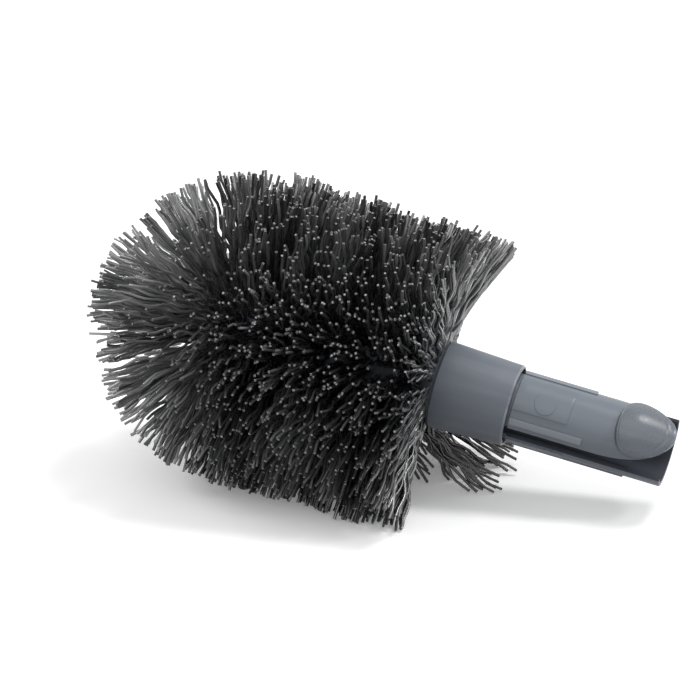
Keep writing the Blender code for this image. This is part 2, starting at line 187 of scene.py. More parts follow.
def new_finish(name):
    """A finish, its shader and a wire that carries the place on the piece."""
    finish = bpy.data.materials.new(name)
    finish.use_nodes = True
    tree = finish.node_tree
    place = tree.nodes.new("ShaderNodeTexCoord").outputs["Object"]
    return finish, tree.nodes["Principled BSDF"], Wire(tree, place)


def along_the_brush(place, stretch):
    """Turn a place to the brush's axis, and draw its pattern out along it."""
    sockets = {"Location": rim_centre, "Rotation": brush_place.to_euler()}
    turned = place.node("Mapping", {"vector_type": "TEXTURE"}, {"Vector": place, **sockets})
    return turned.node("Mapping", {}, {"Vector": turned, "Scale": (1 / stretch, 1, 1)})


def moulded_plastic(name, deep, pale, roughness, mottle=0.0, shine=0.5):
    """Grey moulded plastic: faint lengthwise bands painted in as reflections, which also make a
    slight bump, and a fine spark-eroded grain.
    """
    finish, shader, place = new_finish(name)
    # Faint bands drawn out along the brush: painted reflections along the part.
    reflection_bands = along_the_brush(place, REFLECTION_BAND_STRETCH).noise(REFLECTION_BAND_SCALE)
    cloud = place.noise(CLOUD_SCALE)
    grain = place.noise(GRAIN_SCALE)
    worn = place.noise(WEAR_SCALE, detail=3.0).step(*WEAR_SPREAD)
    tone = reflection_bands.step(*PATTERN_SPREAD) * REFLECTION_BAND_SHARE
    tone += cloud.step(*PATTERN_SPREAD) * (1 - REFLECTION_BAND_SHARE)
    tone.blend(deep, pale).into(shader, "Base Color")
    uneven = tone * -PALE_SMOOTHNESS + grain * GRAIN_ROUGHNESS + worn * mottle
    (uneven + roughness).into(shader, "Roughness")
    height = grain * GRAIN_HEIGHT + reflection_bands * REFLECTION_BAND_HEIGHT
    bump = {"Height": height, "Strength": roughness / 2, "Distance": GRAIN_DEPTH}
    height.node("Bump", {}, bump).into(shader, "Normal")
    shader.inputs["IOR"].default_value = 1.49
    shader.inputs["Specular IOR Level"].default_value = shine
    return finish


collar_finish = moulded_plastic(
    "grey_plastic", GREY_PLASTIC, GREY_PLASTIC_PALE, roughness=0.46,
)
# A paler, glossier plastic for the collar rim's rounded edge: its paleness is a painted
# highlight.
rim_highlight_finish = moulded_plastic(
    "rim_painted_highlight", RIM_HIGHLIGHT_PLASTIC, RIM_HIGHLIGHT_PLASTIC_PALE, roughness=0.34,
)

profile = []
for dome_step in range(DOME_STEPS + 1):
    latitude = math.pi / 2 * dome_step / DOME_STEPS
    reach = CORE_RADIUS * math.cos(latitude)
    profile.append((DOME_CENTRE - reach, CORE_RADIUS * math.sin(latitude)))
profile.append((-COLLAR_LENGTH, CORE_RADIUS))
profile.append((-COLLAR_LENGTH, BACK_RADIUS - BACK_ROUND))
profile.append((-COLLAR_LENGTH + BACK_ROUND, BACK_RADIUS))
for rim_step in range(RIM_STEPS + 1):
    turn = math.pi / 2 * rim_step / RIM_STEPS
    drop = RIM_ROUND * (1 - math.cos(turn))
    profile.append((RIM_ROUND * (math.sin(turn) - 1), RIM_RADIUS - drop))
profile.append((0, MOUTH_RADIUS + MOUTH_CHAMFER))
profile.append((-MOUTH_CHAMFER, MOUTH_RADIUS))
profile.append((-MOUTH_DEPTH, MOUTH_RADIUS))
profile.append((-MOUTH_DEPTH, SOCKET_RADIUS))
profile.append((-SOCKET_DEPTH, SOCKET_RADIUS))
profile.append((-SOCKET_DEPTH, 0))

body = bmesh.new()
section = [body.verts.new((place, 0, radius)) for place, radius in profile]
outline = [body.edges.new(pair) for pair in zip(section, section[1:])]
bmesh.ops.spin(
    body, geom=section + outline, cent=(0, 0, 0), axis=(1, 0, 0), dvec=(0, 0, 0),
    angle=math.tau, steps=LATHE_STEPS, use_merge=True,
)
bmesh.ops.remove_doubles(body, verts=body.verts, dist=SAME_PLACE)
bmesh.ops.recalc_face_normals(body, faces=body.faces)
soften(body, sharp_edges(body), SOFT_EDGE)
# The faces of the rim's rounded edge take the paler plastic: a painted highlight round the rim.
for face in body.faces:
    middle = face.calc_center_median()
    if middle.x > -RIM_ROUND and math.hypot(middle.y, middle.z) > RIM_RADIUS - RIM_ROUND:
        face.material_index = 1
core_and_collar = finished("core_and_collar", body, brush_place, collar_finish, rim_highlight_finish)
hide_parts("brush_body")
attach(core_and_collar, "brush")

# Clip insert: the fixed half of the split spigot. Its closed root ring is pressed into the
# collar's socket, and its jaw runs out below with lengthwise rails that centre it in a pole.
# It is shaped as a flat blank, X along and Y round the spigot, and then rolled up.
SPIGOT_RADIUS = 0.0116
SPIGOT_WALL = 0.0020
SPIGOT_ROOT = -0.0195
RING_END = -0.0115
JAW_LENGTH = 0.0525
JAW_HALF = 95.0
JAW_ROUND = 0.00032
JAW_RELIEF = 0.0007
JAW_RELIEF_START = 0.0410
JAW_RELIEF_SLOPE = 0.0005
NECK_DEPTH = 0.0007
NECK_END = 0.0007
NECK_SLOPE = 0.0003
RAIL_HEIGHT = 0.0006
RAIL_START = NECK_END + NECK_SLOPE
RAIL_ROUND = 0.00011
EDGE_RAIL = (80.0, 90.0, 0.0200)
KEEL_RAIL = (50.0, 60.0, 0.0400)
ROLL_STEP = 3.0
SEAM_DEG = 179.0
SQUARE_ON = 0.9
SKIN = 1e-5
BORE_SHADE_PLASTIC = (0.036, 0.041, 0.053, 1.0)
BORE_SHADE_PLASTIC_PALE = (0.050, 0.058, 0.073, 1.0)
RAIL_HIGHLIGHT_PLASTIC = (0.200, 0.222, 0.255, 1.0)
RAIL_HIGHLIGHT_PLASTIC_PALE = (0.260, 0.282, 0.315, 1.0)

# A dark, dull plastic for the bore and the jaw's cut edges: painted shade inside the spigot and
# in its slots.
bore_shade_finish = moulded_plastic(
    "bore_painted_shade", BORE_SHADE_PLASTIC, BORE_SHADE_PLASTIC_PALE, roughness=0.60, shine=0.2,
)
# A paler plastic for the rails' tops: a painted highlight along them.
rail_highlight_finish = moulded_plastic(
    "rail_painted_highlight", RAIL_HIGHLIGHT_PLASTIC, RAIL_HIGHLIGHT_PLASTIC_PALE, roughness=0.34,
)


def arc(degrees):
    """How far round the spigot an angle reaches on its outside."""
    return math.radians(degrees) * SPIGOT_RADIUS


def saw(shape, axis, marks):
    """Score a blank across at each mark, so that it can be raised or rolled up there."""
    for mark in marks:
        spot = Vector((0, 0, 0))
        spot[axis] = mark
        way = Vector((0, 0, 0))
        way[axis] = 1
        bmesh.ops.bisect_plane(
            shape, geom=shape.verts[:] + shape.edges[:] + shape.faces[:], dist=SAME_PLACE,
            plane_co=spot, plane_no=way,
        )


def blank(points, wall):
    """A flat plate with this outline, its outer face at Z = 0 and its wall below."""
    shape = bmesh.new()
    outer = shape.faces.new([shape.verts.new((place, side, 0)) for place, side in points])
    grown = bmesh.ops.extrude_face_region(shape, geom=[outer], use_keep_orig=True)["geom"]
    inner = [item for item in grown if isinstance(item, bmesh.types.BMVert)]
    bmesh.ops.translate(shape, verts=inner, vec=(0, 0, -wall))
    bmesh.ops.recalc_face_normals(shape, faces=shape.faces)
    return shape


def cut_neck(shape):
    """Thin a blank from outside where the collar's mouth goes round it, with sloped ends."""
    saw(shape, 0, (-MOUTH_DEPTH, NECK_SLOPE - MOUTH_DEPTH, NECK_END, NECK_END + NECK_SLOPE))
    for vert in shape.verts:
        if vert.co.z > -SPIGOT_WALL / 2:
            to_end = (NECK_END + NECK_SLOPE - vert.co.x) / NECK_SLOPE
            from_root = (vert.co.x + MOUTH_DEPTH) / NECK_SLOPE
            vert.co.z -= NECK_DEPTH * max(min(to_end, from_root, 1), 0)


def raise_bands(shape, bands, start, height, size, tilt=0.0, finish=0):
    """Raise the outer face in bands of (low angle, high angle, end), with softened edges.

    A tilt raises the side of a band that is further round, and lowers the other. The flat
    on top takes the finish of this number.
    """
    for low, high, end in bands:
        saw(shape, 0, (start, end))
        saw(shape, 1, (arc(low), arc(high)))
        band = []
        for face in shape.faces:
            middle = face.calc_center_median()
            inside = start < middle.x < end and arc(low) < middle.y < arc(high)
            if inside and face.normal.z > SQUARE_ON and middle.z > -SKIN:
                band.append(face)
        grown = bmesh.ops.extrude_face_region(shape, geom=band)["geom"]
        bmesh.ops.delete(shape, geom=band, context="FACES")
        lifted = {item for item in grown if isinstance(item, bmesh.types.BMVert)}
        for vert in lifted:
            round_share = (abs(vert.co.y) - arc(min(abs(low), abs(high)))) / arc(high - low)
            vert.co.z += height + tilt * (round_share - 0.5)
        for item in grown:
            if isinstance(item, bmesh.types.BMFace):
                item.material_index = finish
        shape.normal_update()
        rims = [edge for edge in sharp_edges(shape) if set(edge.verts) & lifted]
        soften(shape, rims, size)


def roll_up(shape, middle):
    """Wrap a flat blank round the spigot's axis, with Y = 0 at this angle from the top."""
    for vert in shape.verts:
        angle = vert.co.y / SPIGOT_RADIUS + math.radians(middle)
        radius = SPIGOT_RADIUS + vert.co.z
        vert.co = (vert.co.x, radius * math.sin(angle), radius * math.cos(angle))


def both_sides(bands):
    return [*bands, *((-high, -low, end) for low, high, end in bands)]


def even_marks(low, high, step):
    count = max(round((high - low) / step), 1)
    return [low + (high - low) * part / count for part in range(1, count)]


jaw = blank(
    [
        (SPIGOT_ROOT, arc(-180)), (RING_END, arc(-180)), (RING_END, arc(-JAW_HALF)),
        (JAW_LENGTH, arc(-JAW_HALF)), (JAW_LENGTH, arc(JAW_HALF)), (RING_END, arc(JAW_HALF)),
        (RING_END, arc(180)), (SPIGOT_ROOT, arc(180)),
    ],
    SPIGOT_WALL,
)
# The jaw's cut edges take the dark plastic: painted shade in the slots.
for face in jaw.faces:
    if abs(face.normal.y) > SQUARE_ON:
        face.material_index = 1
jaw_rims = []
for edge in jaw.edges:
    if min(abs(vert.co.y) for vert in edge.verts) < arc(SEAM_DEG) and edge.is_manifold:
        jaw_rims.append(edge)
soften(jaw, jaw_rims, JAW_ROUND)
cut_neck(jaw)
jaw_rails = both_sides([EDGE_RAIL, KEEL_RAIL])
# The rails' tops take the paler plastic: a painted highlight.
raise_bands(jaw, jaw_rails, RAIL_START, RAIL_HEIGHT, RAIL_ROUND, finish=2)
saw(jaw, 0, (JAW_RELIEF_START, JAW_RELIEF_START + JAW_RELIEF_SLOPE, 0.0))
saw(jaw, 1, [arc(mark) for mark in even_marks(-180.0, 180.0, ROLL_STEP)])
for vert in jaw.verts:
    if vert.co.z < -SPIGOT_WALL / 2:
        share = (vert.co.x - JAW_RELIEF_START) / JAW_RELIEF_SLOPE
        vert.co.z += JAW_RELIEF * min(max(share, 0), 1)
seam = [face for face in jaw.faces if abs(face.calc_center_median().y) > arc(SEAM_DEG)]
bmesh.ops.delete(jaw, geom=seam, context="FACES")
roll_up(jaw, 180.0)
bmesh.ops.remove_doubles(jaw, verts=jaw.verts, dist=SAME_PLACE)
jaw.normal_update()
# The bore takes the dark plastic: painted shade inside the spigot.
for face in jaw.faces:
    middle = face.calc_center_median()
    in_bore = math.hypot(middle.y, middle.z) < SPIGOT_RADIUS - SPIGOT_WALL / 2
    if in_bore and (abs(face.normal.x) < 0.5 or middle.x < JAW_RELIEF_START + JAW_RELIEF_SLOPE):
        face.material_index = 1
spigot_jaw = finished("spigot_jaw", jaw, clip_place, collar_finish, bore_shade_finish, rail_highlight_finish)
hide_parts("clip_insert")
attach(spigot_jaw, "brush")

# Release tongue: the sprung half of the spigot, moulded thin enough to bend at its root. A
# thumb pad stands near its rounded tip, two rails run beside it, and a plain raised panel
# with a round mould mark lies by the collar.
TONGUE_HALF = 65.0
TONGUE_LENGTH = 0.0542
TAPER_LENGTH = 0.0243
TAPER_STEPS = 20
TAPER_END = 87.0
TONGUE_ROUND = 0.00028
TONGUE_RAIL = (45.0, 55.0, 0.0254)
TONGUE_RAIL_TILT = 0.0005
TONGUE_STEP = 0.003
PANEL = (-30.0, 20.0, 0.0196)
PANEL_HEIGHT = 0.00030
PANEL_ROUND = 0.00009
MARK_PLACE = 0.0111
MARK_DEG = -8.0
MARK_RADIUS = 0.0037
MARK_HEIGHT = 0.00018
MARK_SIDES = 64
PAD_START = 0.0345
PAD_WIDEST = 0.0410
PAD_TIP = 0.0536
PAD_HALF = 51.0
PAD_BACK_POWER = 0.9
PAD_SIDES = 96
PAD_RINGS = 32
PAD_HEIGHT = 0.0024
PAD_TIP_SHARE = 0.02
PAD_FALL_POWER = 1.45
PAD_SINK = 0.0006
PAD_SIDE_SHARE = 0.17
PAD_SIDE_HEIGHT_SHARE = 0.80
PAD_SIDE_POWER = 2.4
PAD_GROOVE_DEPTH = 0.00014
PAD_GROOVE_SPREAD = 0.03
SATIN_PLASTIC = (0.142, 0.163, 0.195, 1.0)
SATIN_PLASTIC_PALE = (0.178, 0.203, 0.240, 1.0)
THUMBED_PLASTIC = (0.100, 0.116, 0.140, 1.0)
THUMBED_PLASTIC_PALE = (0.140, 0.160, 0.190, 1.0)

tongue_finish = moulded_plastic(
    "satin_plastic", SATIN_PLASTIC, SATIN_PLASTIC_PALE, roughness=0.32,
)
thumb_finish = moulded_plastic(
    "thumbed_plastic", THUMBED_PLASTIC, THUMBED_PLASTIC_PALE,
    roughness=0.24, mottle=0.08, shine=0.6,
)
taper = []
for part in range(TAPER_STEPS + 1):
    turn = math.radians(TAPER_END) * part / TAPER_STEPS
    place = TONGUE_LENGTH - TAPER_LENGTH + TAPER_LENGTH * math.sin(turn)
    taper.append((place, arc(TONGUE_HALF) * math.cos(turn)))
tongue = blank(
    [(TONGUE_ROOT, arc(TONGUE_HALF)), (TONGUE_ROOT, arc(-TONGUE_HALF))]
    + [(place, -side) for place, side in taper]
    + taper[::-1],
    SPIGOT_WALL,
)
soften(tongue, sharp_edges(tongue), TONGUE_ROUND)
cut_neck(tongue)
# The rails' tops take the paler plastic: a painted highlight.
raise_bands(
    tongue, both_sides([TONGUE_RAIL]), RAIL_START, RAIL_HEIGHT, RAIL_ROUND,
    tilt=TONGUE_RAIL_TILT, finish=2,
)
raise_bands(tongue, [PANEL], RAIL_START, PANEL_HEIGHT, PANEL_ROUND)
saw(tongue, 0, even_marks(TONGUE_ROOT, TONGUE_LENGTH, TONGUE_STEP))
saw(tongue, 1, [arc(mark) for mark in even_marks(-TONGUE_HALF, TONGUE_HALF, ROLL_STEP)])

mark = bmesh.new()
bmesh.ops.create_cone(
    mark, cap_ends=True, segments=MARK_SIDES, radius1=MARK_RADIUS, radius2=MARK_RADIUS,
    depth=PANEL_HEIGHT + 2 * MARK_HEIGHT,
    matrix=Matrix.Translation((MARK_PLACE, arc(MARK_DEG), PANEL_HEIGHT / 2)),
)
soften(mark, sharp_edges(mark), MARK_HEIGHT / 2, segments=1)
mark_low = arc(MARK_DEG) - MARK_RADIUS
saw(mark, 1, even_marks(mark_low, mark_low + 2 * MARK_RADIUS, arc(ROLL_STEP)))


def pad_edge(turn):
    """A place on the thumb pad's outline: squarish towards the collar, oval at the tip."""
    power = 1 if math.cos(turn) > 0 else PAD_BACK_POWER
    length = PAD_TIP - PAD_WIDEST if math.cos(turn) > 0 else PAD_WIDEST - PAD_START
    forward = math.copysign(abs(math.cos(turn)) ** power, math.cos(turn)) * length
    aside = math.copysign(abs(math.sin(turn)) ** power, math.sin(turn)) * arc(PAD_HALF)
    return Vector((PAD_WIDEST + forward, aside, 0))


def pad_height(place, share):
    """Height of the pad: a round side, a groove, a crowned top and a fall to the tip."""
    fall = max((place - PAD_WIDEST) / (PAD_TIP - PAD_WIDEST), 0)
    up_side = min((1 - share) / PAD_SIDE_SHARE, 1)
    on_top = min(share / (1 - PAD_SIDE_SHARE), 1)
    crown = PAD_SIDE_HEIGHT_SHARE * (1 - (1 - up_side) ** PAD_SIDE_POWER)
    crown += (1 - PAD_SIDE_HEIGHT_SHARE) * (1 - on_top**2)
    height = PAD_HEIGHT * crown * (1 - (1 - PAD_TIP_SHARE) * fall**PAD_FALL_POWER)
    from_groove = (share - 1 + PAD_SIDE_SHARE) / PAD_GROOVE_SPREAD
    return height - PAD_GROOVE_DEPTH * math.exp(-(from_groove**2))


pad = bmesh.new()
ring = bmesh.ops.create_circle(pad, cap_ends=False, segments=PAD_SIDES, radius=1)["verts"]
for vert in ring:
    vert.co = pad_edge(math.atan2(vert.co.y, vert.co.x)) - Vector((0, 0, PAD_SINK))
rim = list(pad.edges)
centre = Vector((PAD_WIDEST, 0, 0))
for part in range(PAD_RINGS):
    share = math.cos(math.pi / 2 * part / PAD_RINGS)
    grown = bmesh.ops.extrude_edge_only(pad, edges=rim)["geom"]
    rim = [item for item in grown if isinstance(item, bmesh.types.BMEdge)]
    for vert in (item for item in grown if isinstance(item, bmesh.types.BMVert)):
        if part == 0:
            vert.co.z = 0
            continue
        side = Vector((vert.co.x, vert.co.y, 0)) - centre
        last = math.cos(math.pi / 2 * (part - 1) / PAD_RINGS)
        flat = centre + side * share / last
        vert.co = (flat.x, flat.y, pad_height(flat.x, share))
bmesh.ops.holes_fill(pad, edges=[edge for edge in pad.edges if edge.is_boundary], sides=0)
bmesh.ops.recalc_face_normals(pad, faces=pad.faces)
for face in pad.faces:
    face.material_index = 1

extra = bpy.data.meshes.new("pad_and_mark")
for shape in (pad, mark):
    shape.to_mesh(extra)
    shape.free()
    tongue.from_mesh(extra)
roll_up(tongue, 0.0)
spigot_tongue = finished(
    "spigot_tongue", tongue, clip_place, tongue_finish, thumb_finish, rail_highlight_finish,
)
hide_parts("release_tongue")
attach(spigot_tongue, "tongue")

# Bristles: crimped black polypropylene filament. Some two dozen to a tuft are folded round a
# flat of wire, driven into a drilled seat and trimmed. The table presses the lowest outwards,
# and round the collar they lean and fan towards the pole. Greyed ones catch the light. The
# tufts below the collar get painted shade, and those on top by the collar and on the domed
# end get painted light.
BRISTLE_LENGTH = 0.0390
BRISTLE_RADIUS = 0.00056
BRISTLE_STEPS = 18
BRISTLE_TAPER = 0.92
HEAD_RADIUS = CORE_RADIUS + BRISTLE_LENGTH
CORE_STRAIGHT = -(DOME_CENTRE + COLLAR_LENGTH)
ROW_PLACES = (-0.0310, -0.0450, -0.0590, -0.0730, -0.0870)
ROW_PITCH = 0.0140
ROW_TUFTS = 7
RING_BUNCHES = 13
DOME_LATITUDES = (16.2, 43.2, 72.0)
POLE_LATITUDE = 90.0
DOME_PITCH = math.radians(27.0)
DOME_TUFTS = (9, 6, 3)
DOME_BUNCHES = (14, 10, 5)
POLE_SPACING = 0.35
BUNCH_SIZE = 24
DOME_BUNCH_SIZE = 26
BUNCH_RADIUS = 0.0026
ROOT_DEPTH = 0.0006
SIDE_SPREAD_SHARE = 0.50
ROW_SPREAD_SHARE = 0.50
DOME_SPREAD_SHARE = 0.33
STRAY_SPREAD = 0.0020
STRAY_LIMIT = 0.0040
BUNCH_LENGTH_SPREAD = 0.02
LENGTH_SPREAD = 0.018
SHORT_SHARE = 0.07
SHORT_LENGTHS = (0.75, 0.96)
CRIMP_PERIOD = 0.0116
CRIMP_HEIGHT = 0.00075
CRIMP_FULL_SHARE = 0.25
CRIMP_SPREAD = 0.5
KNEE_SHARE = 0.28
HANDLE_LEAN = math.radians(18)
LEAN_TOWARDS = Vector((0, 0.35, 0.94)).normalized()
LEAN_SHARES = (0.88, 0.98)
LOW_LEAN = 0.14
LOW_DOWN_SHARES = (0.4, 0.7)
LOW_NEAR_SHARES = (0.25, 0.55)
BACK_LEAN = 0.22
BACK_SHARES = (0.80, 0.94)
UNDER_LEAN = 1.15
UNDER_SWEEP_SHARES = (0.55, 1.05)
UNDER_FAN = 1.5
UNDER_FAR_SHARES = (0.12, 0.40)
UNDER_DOWN_SHARES = (0.15, 0.40)
COLLAR_ROW = -0.030
COLLAR_ROW_BACK_SHARE = 0.4
COLLAR_BIAS = 0.020
COLLAR_SLIDE = 0.5
FLOOR_BIAS = 0.004
FLOOR_GAP = 0.0001
SLIDE_PER_DEPTH = 1.25
SLIDE_SPREAD = (0.8, 1.15)
REST_RADII = (0.8, 3.0)
BLACK_FILAMENT = (0.012, 0.012, 0.013, 1.0)
GREY_FILAMENT = (0.340, 0.340, 0.346, 1.0)
FILAMENT_GREYING = 0.9
FILAMENT_MOTTLE = 0.08
FILAMENT_MOTTLE_SCALE = 900.0
FILAMENT_ROUGHNESS = 0.10
FILAMENT_ROUGHNESS_SPREAD = 0.15
GLOSSY_TONES = (0.3, 0.7)
DULL_END = (0.07, 0.07, 0.07, 1.0)
CUT_END = (0.42, 0.42, 0.43, 1.0)
CUT_SCALE = 1500.0
CUT_SPREAD = (0.50, 0.62)
BUNCH_TONES = (0.2, 0.7)
TONE_SPREAD = 0.2
# Painted shade: how much darker the tufts below the collar are made.
UNDER_PAINTED_SHADE = 1.3
# Painted light: how much lighter the tufts on top by the collar and on the domed end are made.
PAINTED_LIGHT = 0.26
PAINTED_LIGHT_TOP_SHARES = (0.5, 0.9)
PAINTED_LIGHT_END_SHARES = (0.2, 0.6)
dice = random.Random(11)

filament_finish, shader, place = new_finish("black_filament")
tone = place.node("Attribute", {"attribute_name": "tone"}, {}, "Fac")
cloudy = place.noise(FILAMENT_MOTTLE_SCALE)
greyed = tone * tone * FILAMENT_GREYING + cloudy * FILAMENT_MOTTLE
greyed.blend(BLACK_FILAMENT, GREY_FILAMENT).into(shader, "Base Color")
(cloudy * FILAMENT_ROUGHNESS_SPREAD + FILAMENT_ROUGHNESS).into(shader, "Roughness")
tone.step(*GLOSSY_TONES).into(shader, "Coat Weight")
shader.inputs["Coat Roughness"].default_value = 0.10
shader.inputs["Coat IOR"].default_value = 1.8
shader.inputs["Specular IOR Level"].default_value = 0.9
shader.inputs["IOR"].default_value = 1.49

cut_finish, shader, place = new_finish("cut_filament_end")
bright = place.noise(CUT_SCALE).step(*CUT_SPREAD)
bright.blend(DULL_END, CUT_END).into(shader, "Base Color")
shader.inputs["Roughness"].default_value = 0.6


def straight_bristle():
    """A four-sided filament of length 1 along Z, with its cut end as a second finish."""
    shape = bmesh.new()
    step = 1 / BRISTLE_STEPS
    bmesh.ops.create_cone(
        shape, cap_ends=True, segments=4, radius1=BRISTLE_RADIUS, radius2=BRISTLE_RADIUS,
        depth=step, matrix=Matrix.Translation((0, 0, step / 2)),
    )
    end = max(shape.faces, key=lambda face: face.calc_center_median().z)
    for _ in range(BRISTLE_STEPS - 1):
        end = bmesh.ops.extrude_discrete_faces(shape, faces=[end])["faces"][0]
        bmesh.ops.translate(shape, verts=end.verts, vec=(0, 0, step))
    shape.verts.layers.float.new("tone")
    for face in shape.faces:
        face.smooth = abs(face.normal.z) < 0.5
    for edge in end.edges:
        edge.smooth = False
    end.material_index = 1
    return shape


def eased(value, low, high):
    """From 0 to 1 as a value goes from low to high."""
    return min(max((value - low) / (high - low), 0), 1)


class Bunch:
    """One tuft: where it is seated, which way it points, how far it sprays, and its crimp.

    Its near is 1 at the collar and 0 from the dome on, and its beside falls off faster. Its
    under is highest for the tufts on the far side, below the collar.
    """

    def __init__(self, seat, way, side, side_fan, row_fan):
        self.seat = seat
        self.way = way
        self.side = side
        self.row_way = way.cross(side).normalized()
        self.side_fan = side_fan
        self.row_fan = row_fan
        self.near = max((seat.x - DOME_CENTRE) / CORE_STRAIGHT, 0)
        self.beside = self.near**4
        far = eased(way.y, *UNDER_FAR_SHARES)
        self.under = self.beside * far * eased(-way.z, *UNDER_DOWN_SHARES)
        self.phase = dice.uniform(0, math.tau)
        self.plane = dice.uniform(0, math.pi)
        # Tufts on top by the collar and on the domed end are painted lighter: painted light.
        top = self.beside * eased(way.z, *PAINTED_LIGHT_TOP_SHARES)
        painted_lit = max(top, eased(-way.x, *PAINTED_LIGHT_END_SHARES))
        # Tufts below the collar are painted darker: painted shade under the collar.
        self.tone = dice.uniform(*BUNCH_TONES) * (1 - UNDER_PAINTED_SHADE * self.under)
        self.tone += PAINTED_LIGHT * painted_lit
        self.length = BRISTLE_LENGTH * (1 + dice.gauss(0, BUNCH_LENGTH_SPREAD))

    def pole_shift(self):
        """How far a filament's end is drawn towards the pole."""
        upward = self.way.dot(LEAN_TOWARDS)
        lean = HANDLE_LEAN * self.near**2 * eased(upward, *LEAN_SHARES)
        low = eased(-self.way.z, *LOW_DOWN_SHARES) * eased(-self.way.y, *LOW_NEAR_SHARES)
        lean += LOW_LEAN * self.beside * low
        lean -= BACK_LEAN * self.beside * eased(self.way.y, *BACK_SHARES)
        swept = UNDER_LEAN * self.under * dice.uniform(*UNDER_SWEEP_SHARES)
        return BRISTLE_LENGTH * (math.sin(lean) + swept)

    def tip(self, aside, forward, length):
        """The free end of a filament, sprayed round the brush's axis and along it."""
        centre = self.seat + self.way * BRISTLE_LENGTH
        hub = Vector((min(max(centre.x, DOME_CENTRE), 0), 0, 0))
        swing = Matrix.Rotation(aside / HEAD_RADIUS, 3, self.row_way)
        forward *= 1 + UNDER_FAN * self.under
        free = hub + swing @ (centre - hub) + self.row_way * forward
        free.x += self.pole_shift()
        return self.seat + (free - self.seat).normalized() * length


def ring_of_bunches(along, count, turn):
    """Tufts in one ring round the straight of the core."""
    side_fan = HEAD_RADIUS * math.tau / count * SIDE_SPREAD_SHARE
    for place in range(count):
        angle = math.tau * (place + turn) / count
        way = Vector((0, math.sin(angle), math.cos(angle)))
        side = Vector((0, way.z, -way.y))
        seat = Vector((along, 0, 0)) + way * (CORE_RADIUS - ROOT_DEPTH)
        yield Bunch(seat, way, side, side_fan, ROW_PITCH / 2 * ROW_SPREAD_SHARE)


def dome_ring_of_bunches(latitude, count, turn):
    """Tufts in one ring of latitude on the domed end."""
    rise = math.radians(latitude)
    spacing = max(math.cos(rise) * math.tau / count, POLE_SPACING)
    side_fan = HEAD_RADIUS * spacing * SIDE_SPREAD_SHARE
    row_fan = HEAD_RADIUS * DOME_PITCH * DOME_SPREAD_SHARE
    for place in range(count):
        angle = math.tau * (place + turn) / count
        flat = Vector((0, math.sin(angle), math.cos(angle)))
        way = flat * math.cos(rise) - Vector((math.sin(rise), 0, 0))
        side = Vector((0, flat.z, -flat.y))
        seat = Vector((DOME_CENTRE, 0, 0)) + way * (CORE_RADIUS - ROOT_DEPTH)
        yield Bunch(seat, way, side, side_fan, row_fan)


def pressed(root, tip, near_collar):
    """Where the table leaves a filament's free end, in world places."""
    rest = BRISTLE_RADIUS * dice.uniform(*REST_RADII)
    depth = rest - tip.z
    if depth <= 0:
        return tip
    out = tip - root
    bias = FLOOR_BIAS + COLLAR_BIAS * near_collar
    sweep = Vector((out.x + bias, out.y, 0)).normalized()
    slide = SLIDE_PER_DEPTH + COLLAR_SLIDE * near_collar
    return Vector((tip.x, tip.y, rest)) + sweep * (depth * slide * dice.uniform(*SLIDE_SPREAD))


def bristle_line(root, way, tip, phase, plane):
    """Centres and headings along a filament: straight out, curved to its end, crimped."""
    reach = (tip - root).length
    knee = root + way * reach * KNEE_SHARE
    heading = (tip - root).normalized()
    across = heading.orthogonal().normalized()
    crimp = Matrix.Rotation(plane, 3, heading) @ across
    line = []
    for step in range(BRISTLE_STEPS + 1):
        share = step / BRISTLE_STEPS
        centre = root * (1 - share) ** 2 + knee * 2 * share * (1 - share) + tip * share**2
        wave = math.sin(phase + math.tau * share * BRISTLE_LENGTH / CRIMP_PERIOD)
        line.append(centre + crimp * wave * CRIMP_HEIGHT * min(share / CRIMP_FULL_SHARE, 1))
    frames = []
    for step, centre in enumerate(line):
        ahead = line[min(step + 1, BRISTLE_STEPS)] - line[max(step - 1, 0)]
        ahead.normalize()
        side = (crimp - ahead * crimp.dot(ahead)).normalized()
        frames.append((centre, side, ahead.cross(side)))
    return frames


